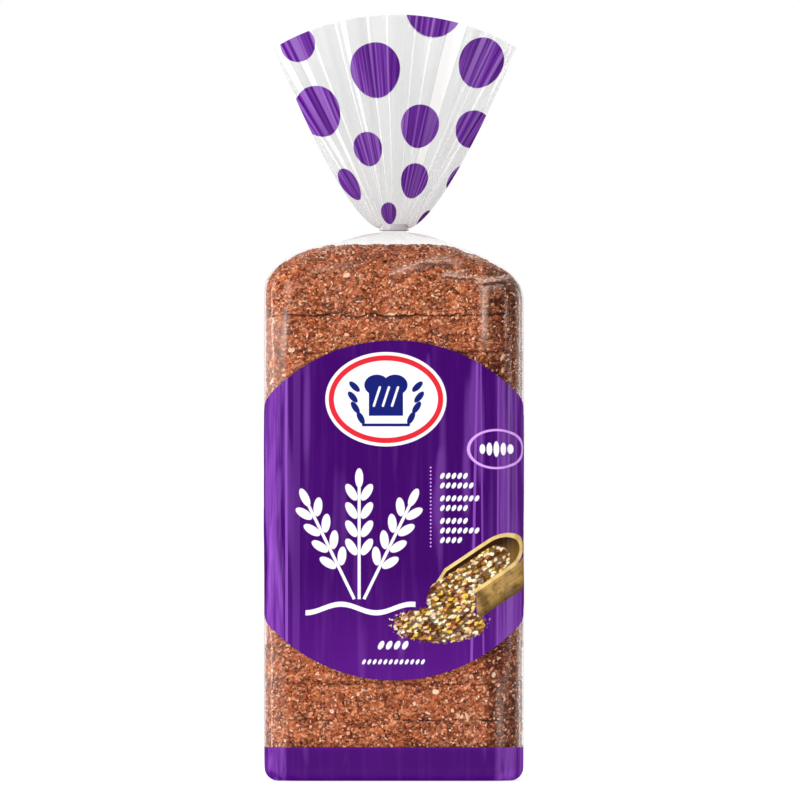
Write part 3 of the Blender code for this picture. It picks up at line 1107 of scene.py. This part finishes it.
def wheat_ear(x, y, foot, tall, degrees):
    """A stem from its foot, with pairs of kernels up to its tip."""
    along, off = turned(x, y, foot, degrees)
    side = abs(off)
    start = tall - KERNEL_PAIRS * KERNEL_PITCH
    step = (along - start) % KERNEL_PITCH - KERNEL_PITCH / 2
    pair = ellipse(step, side, (0.3, 2.9), (3.5, 1.6), 32) * within(along, start, tall)
    tip = ellipse(along, side, (tall + 2.2, 0), (3.6, 1.5))
    stem = inked(side - 0.55) * within(along, 0, tall)
    return either(pair, tip, stem)


def seed_row(x, y, left, count, pitch, height, size):
    """A row of small tilted seeds, each in the middle of its own pitch."""
    step = (x - left) % pitch - pitch / 2
    return ellipse(step, y, (0, height), size, SEED_LEAN) * within(x, left, left + count * pitch)


def badge(x, y, middle):
    """White, red and navy masks of an oval badge with a small loaf and two sprigs."""
    white = ellipse(x, y, middle, (22.6, 17.6))
    red = ellipse(x, y, middle, (21.4, 16.4)) - ellipse(x, y, middle, (19.4, 14.4))
    a, b = turned(x, y, middle)
    side = abs(a)
    loaf = either(ellipse(side, b, (3.4, 5.3), (4.7, 3.9)), box(a, b, (0, -0.2), 6.4, 6.0))
    cuts = either(*[stroke(a, b, (at, 1.0), 3.6, 0.42, 72) for at in (-3.4, 0, 3.4)])
    leaves = [ellipse(side, b, (9.4 + 3.0 * math.sin(i * 0.75), -7.0 + 3.9 * i), (2.6, 1.15), 62 - 6 * i)
              for i in range(SPRIG_LEAVES)]
    ground = stroke(a, b, (0, -9.6), 8.5, 0.55)
    return white, red, either(loaf * (1 - cuts), ground, *leaves)


# %% Scoop and grain
WOOD_LIGHT = colour(190, 152, 88)
WOOD_MID = colour(128, 92, 40)
WOOD_DARK = colour(50, 24, 8)
WOOD_RIM = colour(236, 204, 134)
WOOD_RIM_SHADE = colour(176, 132, 70)
GRAIN_GAP = colour(62, 22, 8)
SCOOP_MIDDLE = (38.0, 74.2)
SCOOP_LEAN = 34
SCOOP_MOUTH = -18.5
RIM_HALF = 0.65
GRAIN_STOPS = ((0.0, colour(70, 34, 22)), (0.12, colour(150, 92, 44)), (0.25, colour(250, 206, 62)),
               (0.38, colour(255, 246, 218)), (0.5, colour(176, 84, 52)), (0.6, colour(240, 184, 122)),
               (0.72, colour(255, 242, 206)), (0.86, colour(248, 202, 92)), (1.0, colour(104, 60, 46)))


def grain_heap(paint, x, y):
    """Mask and colour of the mixed grain that fills the scoop and spills out of it."""
    a, b = turned(x, y, SCOOP_MIDDLE, SCOOP_LEAN)
    wobble = paint.noise((x, y, 3.0), (1.3, 1.3, 1)) * 4.8 - 2.4
    held = inked(length((a - 5.5).at_least(0), b - 7.3) - 4.9 + wobble * 0.3) * (a > -20)
    neck = inked(outside(x - 21.5, y - 67.5, (9.2, 8.6)) + wobble * 0.5)
    spill = inked(outside(x - 17.0, y - 58.4, (17.4, 6.6)) + wobble)
    warp = paint.noise((x, y, 1.0), (1.5, 1.5, 1)) * 1.4 - 0.7
    seeds = paint.point((a / 1.8 + warp, b / 1.15 - warp, 0.0))
    shade = paint.noise((x, y, 6.0), (3, 2.5, 1))
    grains = paint.layers(paint.ramp(paint.cell_tone(seeds), GRAIN_STOPS),
                          (paint.cells(seeds).over(0.42, 5) * 0.85, GRAIN_GAP),
                          (shade.over(0.56, 5) * 0.5, GRAIN_GAP))
    return either(held, neck, spill), grains


def scoop(paint, x, y):
    """Mask and colour of the wooden scoop: a trough with a thick pale rim and a round back."""
    a, b = turned(x, y, SCOOP_MIDDLE, SCOOP_LEAN)
    droop = (-13 - a).at_least(0) * 0.45
    off = length((a - 6).at_least(0) * 0.62, b + droop - 8.0) - 7.0
    opening = inked(off) * (a > SCOOP_MOUTH)
    rim = inked(abs(off + RIM_HALF) - RIM_HALF) * (a > SCOOP_MOUTH)
    underside = (a - 9).at_least(0) * 0.9 - 7.7
    handle = stroke(a, b, (23, 5.0), 6, 2.3, 4)
    wall = either((b > underside) * (b < 1.6) * (a - b * 0.65 > -8.7), handle)
    lines = paint.noise((a, b, 0.0), (12, 0.7, 1), 3)
    patch = paint.noise((a, b, 4.0), (5, 4, 1))
    side = paint.layers(WOOD_LIGHT, (lines.over(0.35, 2) * 0.6, WOOD_MID),
                        (patch.over(0.44, 5) * 0.7, WOOD_DARK), (b.under(-3.6, 1 / 3.4) * 0.75, WOOD_DARK))
    hollow = paint.mix(b.over(5, 1 / 6), WOOD_MID, WOOD_DARK)
    edge = paint.mix(patch.over(0.45, 4) * 0.7, WOOD_RIM, WOOD_RIM_SHADE)
    return either(opening, wall), paint.layers(side, (opening, hollow), (rim, edge))


# %% [markdown]
# The body's print is laid over the purple disc and band. The disc looks round from the front
# and carries on round both corners. The pattern's own colours are painted one over another.
# Where there is no ink the film is clear: it is mixed in by a see-through shader whose alpha is low, and
# higher in the folds, where film lies double and scatters light and where pale haze is painted on as
# highlight. The ink carries painted highlights too. The ink is glossy where it faces the eye, and matt where
# it turns away, so that its colour holds at the corners.

# %% Ink and film shader
PURPLE = colour(61, 0, 100)
PURPLE_LOW = colour(104, 28, 148)
PURPLE_PAINTED_SHEEN = colour(156, 88, 200)
PRINT_WHITE = colour(250, 246, 252)
LILAC = colour(216, 160, 238)
NAVY = colour(20, 30, 112)
RED = colour(220, 40, 52)
FILM_WHITE = (0.92, 0.91, 0.90, 1.0)
FILM_GREY = (0.655, 0.665, 0.655, 1.0)
FILM_CREAM = (0.88, 0.66, 0.56, 1.0)
FILM_GLOSS = (0.95, 0.95, 0.95, 1.0)
CRINKLE_HEIGHT = 0.12 * MM
DISC_MIDDLE = (0.0, 101.1)
DISC_RADIUS = 63.4
BAND_TOP = 12.7
LEFT_EDGE = -39.9
# Each thin painted highlight line on the ink, where a fold catches the light: place across the panel, half
# width, lean over the disc and share.
PAINTED_HIGHLIGHT_LINES = (
    (-40.1, 0.45, 0.0, 0.65), (-36.4, 1.3, 0.2, 0.15), (30.0, 0.45, 1.2, 0.65), (32.9, 0.3, -0.6, 0.5),
    (38.8, 0.3, 0.3, 0.6), (40.9, 0.4, -0.3, 0.45), (42.8, 0.3, 0.2, 0.6), (45.4, 0.5, 0.0, 0.5),
)


def lit_line(off, half):
    """A soft line of painted highlight, of a half width, by the distance from its middle."""
    return abs(off).under(half + 0.15, 4)


def purple_ink(paint, across, up, depth, crease):
    """The purple of the print, with a paler low part and painted highlights: soft upright streaks, pale zones
    at the front corners, thin lines and folds.
    """
    place = across, up, depth
    streaks = paint.noise(place, (3.2, 70, 9), 3, 0.6)
    clouds = paint.noise(place, (13, 26, 30))
    low = up.under(78, 1 / 50) * 0.6 + clouds.over(0.55, 2.4) * 0.15 - up.under(13.5, 1 / 2) * 0.45
    ink = paint.mix(low.clamped(), PURPLE, PURPLE_LOW)
    front = depth < 0
    height = (up - DISC_MIDDLE[1]) / DISC_RADIUS
    left = across.under(LEFT_EDGE, 1 / 0.7) * front
    right = across.over(37, 1 / 3) * front
    # Painted reflections of the lights in the rounded front corners: streaky on the left, fainter on the
    # right.
    streak = streaks.over(0.42, 5)
    side = left * streak * 0.5 + right * (streak * 0.4 + 0.12)
    lines = either(*[lit_line(across - at - lean * height, half) * share
                     for at, half, lean, share in PAINTED_HIGHLIGHT_LINES])
    # Creases get a painted sheen.
    fold = crease.over(0.4, 1.7) * 0.3
    sheen = either(side + fold * left, lines * front * up.over(BAND_TOP + 2, 1 / 3), fold,
                   streaks.over(0.5, 4) * 0.06)
    return paint.mix(sheen.clamped(), ink, PURPLE_PAINTED_SHEEN)


def film_shader(paint, ink_mask, ink_colour, haze, haze_colour, crinkle, gloss_share):
    """Glossy ink where the mask is 1, and elsewhere clear film: a faint haze under a thin gloss."""
    relief = paint.bump(crinkle, 0.25, CRINKLE_HEIGHT)
    smooth = paint.bump(crinkle, 0.1, CRINKLE_HEIGHT)
    glossy_ink = paint.shader(Base_Color=ink_colour, Roughness=0.24, IOR=1.3, Normal=relief)
    matt_ink = paint.shader(Base_Color=ink_colour, Roughness=0.6, Specular_IOR_Level=0.0, Normal=relief)
    milk = paint.shader(Base_Color=haze_colour, Roughness=0.3, Alpha=haze.clamped(), Normal=relief)
    gloss = paint.shader(Base_Color=FILM_GLOSS, Metallic=1.0, Roughness=0.15, Normal=smooth)
    facing = paint.node("LayerWeight", {}, {"Blend": 0.5, "Normal": smooth}, "Facing")
    ink = paint.mix_shaders(facing.over(0.12, 5), glossy_ink, matt_ink)
    clear = paint.mix_shaders((facing ** 5 * 0.9 + 0.025) * gloss_share, milk, gloss)
    return paint.mix_shaders(ink_mask, clear, ink)


# %% Painted highlights and shadows of the wrinkles over the heel
# Each wrinkle: middle, half length and half width in millimetres, slope, and how much it covers. Pale
# wrinkles are painted highlights and dark ones painted shadows.
PAINTED_WRINKLE_GLINTS = (
    ((36.9, 187.4), 4.6, 0.75, 9, 0.68), ((33.9, 177.4), 8.8, 1.00, 91, 0.20),
    ((24.7, 188.5), 5.6, 0.24, -4, 0.60), ((22.6, 190.0), 3.4, 0.18, 3, 0.40),
    ((5.2, 191.9), 5.2, 0.26, 23, 0.50), ((15.2, 194.3), 4.8, 0.26, 2, 0.50),
    ((29.0, 196.0), 2.8, 0.60, -24, 0.30), ((-27.5, 190.6), 4.2, 0.22, 14, 0.30),
    ((-37.6, 183.4), 2.8, 0.24, 40, 0.35), ((41.6, 174.0), 5.0, 0.30, 90, 0.25),
)
PAINTED_WRINKLE_SHADOWS = (
    ((15.9, 192.7), 4.4, 0.42, -3, 0.50), ((9.6, 191.2), 2.6, 0.40, 24, 0.45),
    ((24.7, 187.6), 4.8, 0.20, -4, 0.35), ((38.4, 185.9), 3.4, 0.50, 4, 0.50),
    ((-36.6, 181.2), 2.2, 0.70, 48, 0.35),
)
WRINKLE_GLINT = colour(246, 208, 184)
WRINKLE_SHADE = colour(52, 14, 8)
WRINKLE_SOFT = 0.6
WRINKLE_TAPER = 0.3


def wrinkles(x, y, table):
    """The strongest of some soft straight lines."""
    masks = []
    for middle, half_length, radius, degrees, share in table:
        a, b = turned(x, y, middle, degrees)
        past = (abs(a) - half_length).at_least(0) * WRINKLE_TAPER
        masks.append(inked(length(past, b) - radius, WRINKLE_SOFT) * share)
    return either(*masks)


# %% The haze in the body's film
def body_haze(paint, across, up, front):
    """How much the clear film covers the bread, and in what colour, with painted highlights on folds, side
    edges and wrinkles, and painted shadows in wrinkles.
    """
    haze = paint.noise((across, up, 2.0), (4.5, 60, 1))
    wide_haze = paint.noise((across, up, 5.0), (8, 40, 1), 1)
    left_edge = across.under(LEFT_EDGE, 1 / 0.7) * across.over(-51, 1 / 3) * up.under(178, 1 / 8)
    right_edge = across.over(45, 1 / 2) * across.under(52, 1 / 4)
    tent = up.over(201.0, 1 / 3)
    # The fold veils and the pale film at both side edges are partly the film's own haze and partly painted
    # highlight.
    milk = haze.over(0.6, 2) * 0.02 + wide_haze.over(0.52, 4) * across.under(34, 1 / 4) * 0.04
    milk = milk + paint.attribute("crease") * 0.01 + paint.attribute("veil") * 0.26 + tent * 0.12
    milk = milk + left_edge * front * (up.over(60, 1 / 30) * 0.1 + 0.05) + right_edge * front * 0.2
    wobble = paint.noise((across, up, 8.0), (1.5, 1.5, 1)) * 1.5 - 0.75
    broken = paint.noise((across, up, 3.0), (1.2, 0.8, 1), 1).over(0.4, 5) * 0.8 + 0.2
    # Painted highlights and painted shadows of the wrinkles over the heel.
    pale = wrinkles(across + wobble, up + wobble, PAINTED_WRINKLE_GLINTS) * broken * front
    dark = wrinkles(across, up + wobble, PAINTED_WRINKLE_SHADOWS) * front * (1 - pale)
    tint = paint.layers(FILM_CREAM, (tent, FILM_WHITE), ((pale * 4).clamped(), WRINKLE_GLINT),
                        ((dark * 8).clamped(), WRINKLE_SHADE))
    return milk + pale + dark, tint


# %% The body's print
EARS_SHIFT = 13.0
# Each ear: its foot across the panel, its height and its slope in degrees.
EARS = ((-14.8, 40, 116), (-13, 43, 90), (-11.2, 40, 64))
EARS_FOOT = 68
SMALL_SEED = (1.2, 0.7)
# Each row of small seeds: left end, number of seeds, pitch, height and size of a seed.
SEED_ROWS = (
    (17, 5, 2.15, 114, SMALL_SEED), (17, 6, 2.15, 110.4, SMALL_SEED), (17, 7, 2.15, 105.6, SMALL_SEED),
    (17, 5, 2.15, 102, SMALL_SEED), (17, 5, 2.15, 97.2, SMALL_SEED), (17, 7, 2.15, 93.6, SMALL_SEED),
    (17, 4, 2.15, 90, SMALL_SEED), (-6.3, 4, 3.0, 50.8, (1.75, 0.95)), (-12.2, 12, 2.0, 44.6, (1.05, 0.55)),
)
RING_MIDDLE = (38.2, 124)
RING_RADII = (10.4, 7.1)
DOTTED_FOOT, DOTTED_TOP = 87, 118
BADGE_MIDDLE = (-3.0, 142.6)


def front_print(x, y):
    """White and lilac masks of the seeds, the small ring and the dotted line."""
    seeds = [seed_row(x, y, *row) for row in SEED_ROWS]
    a, b = turned(x, y, RING_MIDDLE)
    sprig = [ellipse(abs(a), b, (2.6 * i, 0.0), (1.05, 2.9 - 0.55 * i)) for i in range(3)]
    ring = inked(abs(outside(a, b, RING_RADII)) - 0.4)
    dots = inked(length(x - 13.7, (y - DOTTED_FOOT) % 1.4 - 0.7) - 0.3)
    return either(*seeds, *sprig), either(dots * within(y, DOTTED_FOOT, DOTTED_TOP), ring)


def body_film_material():
    paint = Paint("printed_film")
    _, depth, up = paint.place()
    across = paint.attribute("across") / MM
    front = depth < 0
    beside = across - (1 - front) * EARS_SHIFT
    ears = [wheat_ear(beside, up, (foot, EARS_FOOT), tall, degrees) for foot, tall, degrees in EARS]
    wave = inked(abs(up - 64.5 - (beside / 4.2).sine() * 1.6) - 0.95) * within(beside, -33, 8)
    white, lilac = front_print(across, up)
    badge_white, badge_red, badge_navy = badge(across, up, BADGE_MIDDLE)
    scoop_mask, scoop_colour = scoop(paint, across, up)
    heap_mask, heap_colour = grain_heap(paint, across, up)
    ink = paint.layers(
        purple_ink(paint, across, up, depth, paint.attribute("crease")),
        (either(*ears, wave, white * front), PRINT_WHITE), (lilac * front, LILAC),
        (badge_white * front, PRINT_WHITE), (badge_red * front, RED), (badge_navy * front, NAVY),
        (scoop_mask * front, scoop_colour), (heap_mask * front, heap_colour))
    printed = either(ellipse(across, up, DISC_MIDDLE, (DISC_RADIUS, DISC_RADIUS)), inked(up - BAND_TOP))
    milk, tint = body_haze(paint, across, up, front)
    crinkle = paint.noise((across, up, depth), (1.4, 26, 9), 1, 0.4)
    gloss_share = 1 - up.over(182, 1 / 8) * 0.8
    return paint.finish(film_shader(paint, printed, ink, milk, tint, crinkle, gloss_share))


finish_piece(film_body, "clear_film", body_film_material())

# %% [markdown]
# The dots on the mouth were printed as circles, and gathering the film draws them in towards the
# neck. So each dot is given from the neck's focus: how far out it lies, at what angle, and how
# wide and tall it has become. The pleats shift the print a little, which nicks the dots' edges.
# Pale bands run out from the neck: painted highlights on the pleats, over clear film and dots alike.

# %% The mouth's dots
# Distance from the focus, angle from upright in degrees, half width and half height in millimetres.
DOTS = (
    (86.5, -24.6, 6.6, 6.4), (69.5, -5.7, 9.2, 10.4), (93.0, 9.3, 10.6, 10.3), (78.9, 24.4, 8.2, 9.7),
    (60.7, -27.9, 8.2, 9.9), (49.1, 11.3, 7.0, 8.2), (40.8, -13.8, 5.2, 6.5), (55.6, 32.3, 6.6, 7.2),
    (31.1, -32.0, 3.0, 6.7), (28.7, 15.1, 4.9, 6.7), (37.3, 38.8, 2.3, 5.4), (15.7, -7.0, 2.8, 4.1),
    (17.1, 39.5, 1.3, 4.3),
)


# Each pale band, a painted highlight on a pleat: angle from upright and half width, in degrees.
PAINTED_HIGHLIGHT_BANDS = (
    (15.6, 2.1), (-12.4, 0.6), (-14.2, 0.25), (-25.0, 0.8), (-29.2, 0.9), (-20.6, 0.3), (22.6, 0.6),
    (24.8, 0.3), (28.4, 0.4), (31.0, 0.5), (-1.7, 0.2), (-6.6, 0.3), (5.4, 0.2), (9.6, 0.25), (-32.0, 0.4),
)
DOT_INK = colour(74, 14, 116)
DOT_INK_PALE = colour(124, 62, 166)
DOT_PAINTED_SHEEN = colour(186, 142, 222)
MOUTH_HAZE = 0.36


def mouth_film_material():
    paint = Paint("dotted_film")
    _, _, up = paint.place()
    across = paint.attribute("across") / MM
    rise = up - FOCUS_Z / MM
    angle = paint.math("ARCTAN2", across, rise)
    far = length(across, rise)
    dots = [inked(outside((angle - math.radians(lean)) * distance, far - distance, (wide, tall)))
            for distance, lean, wide, tall in DOTS]
    degrees = angle * (180 / math.pi)
    streaks = paint.noise((degrees, far, 1.0), (1.1, 90, 1), 2, 0.6)
    waved = degrees + (far / 9).sine() * 0.12
    bands = either(*[lit_line(waved - middle, half) for middle, half in PAINTED_HIGHLIGHT_BANDS])
    # The sheen, the pale bands and the paler streaks are painted highlights where the pleats catch the light;
    # the paler streaks on the dots are partly thin ink too.
    sheen = streaks.over(0.54, 7)
    over_ink = far.over(40, 1 / 60) * 0.4 + 0.1
    ink = paint.layers(DOT_INK, (streaks.over(0.38, 3), DOT_INK_PALE),
                       (either(sheen * 0.3, bands * over_ink), DOT_PAINTED_SHEEN))
    white = either(bands, sheen * 0.12)
    tint = paint.mix(white, FILM_GREY, FILM_WHITE)
    crinkle = paint.noise((degrees, far, 2.0), (2, 80, 1), 1)
    return paint.finish(film_shader(paint, either(*dots), ink, white * 0.45 + MOUTH_HAZE, tint, crinkle, 0.5))


finish_piece(film_mouth, "clear_film", mouth_film_material())

# %% [markdown]
# ## The tie
#
# The neck is held by a flat strip with a wire inside it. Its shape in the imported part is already
# right, so it keeps that mesh and gets a satin grey finish, with the wire's ridge and the fine
# ribs of the strip as relief.

# %% Tie finish
TIE_GREY = colour(204, 200, 206)
TIE_PALE = colour(228, 225, 230)
TIE_SHADE = colour(96, 94, 98)
TIE_SHADE_TOP = 206.1


def tie_material():
    paint = Paint("satin_tie")
    place = _, _, z = paint.place()
    ribs = (z * 9).sine() * 0.5 + 0.5
    wear = paint.noise(place, (1.5, 1.5, 0.6), 3)
    # The strip darkens below TIE_SHADE_TOP: painted shade along its lower edge.
    shade = z.under(TIE_SHADE_TOP, 1 / 0.3) * 0.7
    grey = paint.layers(TIE_GREY, (wear.over(0.4, 2), TIE_PALE), (shade, TIE_SHADE))
    relief = paint.bump(ribs + wear * 0.5, 0.3, 0.1 * MM)
    rough = 0.3 + wear * 0.12
    return paint.finish(paint.shader(Base_Color=grey, Metallic=0.05, Roughness=rough, Normal=relief))


tie = frame["nodes"]["neck_tie"]
tie.data.materials.clear()
tie.data.materials.append(tie_material())
print("tie:", triangles(tie), "triangles")

# %% [markdown]
# ## Floor, light and camera
#
# The loaf stands on a plain white floor in front of white. A large soft light from the front
# left is the main one. Narrow upright lights at both sides draw the long highlights in the
# film's folds. Film and ink mirror a dim room in front and white behind, and never the floor.
# The camera looks level from far away through a long lens, so the loaf's sides stay parallel
# as in the photograph.

# %% Floor
FLOOR_SIZE = 2.4
FLOOR_DROP = 0.2 * MM
FLOOR_GLOW = 0.7
FLOOR_WHITE = (0.93, 0.93, 0.93, 1)
WHITE = (1, 1, 1, 1)


def make_floor():
    bpy.ops.object.select_all(action="DESELECT")
    bpy.ops.mesh.primitive_grid_add(x_subdivisions=8, y_subdivisions=8, size=FLOOR_SIZE,
                                    location=(0, 0, -FLOOR_DROP))
    floor = bpy.context.object
    floor.name = "floor"
    paint = Paint("white_floor")
    floor.data.materials.append(paint.finish(paint.shader(
        Base_Color=FLOOR_WHITE, Roughness=0.9, Emission_Color=WHITE, Emission_Strength=FLOOR_GLOW)))
    floor.visible_glossy = False


make_floor()


# %% Lights
LIT_POINT = Vector((0, 0, 0.13))
FILL_LIGHT = 0.28
ROOM_REFLECTION = 0.10
# The room's reflection turns white between these two heights of the ray's way towards +Y.
BEHIND_FROM, BEHIND_TO = -0.1, 0.5


def softbox(name, azimuth, elevation, distance, width, height, watts):
    """An area light that looks at the middle of the loaf. Azimuth 0 is in front, 90 at its right."""
    a, e = math.radians(azimuth), math.radians(elevation)
    away = Vector((math.sin(a) * math.cos(e), -math.cos(a) * math.cos(e), math.sin(e)))
    lamp = bpy.data.lights.new(name, "AREA")
    lamp.shape = "RECTANGLE"
    lamp.size, lamp.size_y = width, height
    lamp.energy = watts
    light = bpy.data.objects.new(name, lamp)
    light.location = LIT_POINT + away * distance
    light.rotation_euler = (-away).to_track_quat("-Z", "Y").to_euler()
    light.visible_camera = False
    bpy.context.scene.collection.objects.link(light)


softbox("key_left", -42, 28, 0.75, 0.31, 0.61, 3.6)
softbox("strip_left", -100, 4, 0.8, 0.10, 0.9, 2.5)
softbox("strip_right", 62, 6, 0.9, 0.08, 0.9, 1.0)
softbox("rim_right", 122, 6, 0.9, 0.12, 0.9, 1.4)
softbox("top", 10, 78, 1.0, 0.7, 0.5, 2.0)


def make_world():
    """White behind everything, a softer white as fill light, and a dim room in the reflections."""
    paint = Paint("studio", bpy.data.worlds, "OutputWorld")

    def glow(strength):
        return paint.node("Background", {}, {"Color": WHITE, "Strength": strength})

    direction = paint.node("TexCoord", {}, {}, "Generated")
    sideways = paint.node("SeparateXYZ", {}, {"Vector": direction}, "Y")
    behind = paint.node("MapRange", {"interpolation_type": "SMOOTHSTEP"},
                        {"Value": sideways, "From Min": BEHIND_FROM, "From Max": BEHIND_TO}, "Result")
    room = paint.mix_shaders(behind, glow(ROOM_REFLECTION), glow(1.0))
    light = paint.mix_shaders(paint.node("LightPath", {}, {}, "Is Glossy Ray"), glow(FILL_LIGHT), room)
    seen = paint.mix_shaders(paint.node("LightPath", {}, {}, "Is Camera Ray"), light, glow(1.0))
    bpy.context.scene.world = paint.finish(seen)


make_world()
bpy.context.scene.view_settings.view_transform = "Standard"

# %% Camera
PHOTO_WIDTH_PX = 800
METRES_PER_PX = 0.3745 * MM
LOAF_MIDDLE_PX = 394
BASE_PX = 780
LENS_MM = 1500
SENSOR_MM = 36
FAR_CLIP = 50


def make_camera():
    """A level view whose frame is the photograph's, in the plane through the loaf's middle."""
    half = PHOTO_WIDTH_PX / 2
    target = Vector(((half - LOAF_MIDDLE_PX) * METRES_PER_PX, 0, (BASE_PX - half) * METRES_PER_PX))
    distance = PHOTO_WIDTH_PX * METRES_PER_PX * LENS_MM / SENSOR_MM
    data = bpy.data.cameras.new("camera")
    data.lens = LENS_MM
    data.sensor_width = SENSOR_MM
    data.clip_end = FAR_CLIP
    camera = bpy.data.objects.new("camera", data)
    camera.location = target + Vector((0, -distance, 0))
    camera.rotation_euler = (math.radians(90), 0, 0)
    bpy.context.scene.collection.objects.link(camera)
    bpy.context.scene.camera = camera
    print("camera distance:", round(distance, 2), "m")


make_camera()
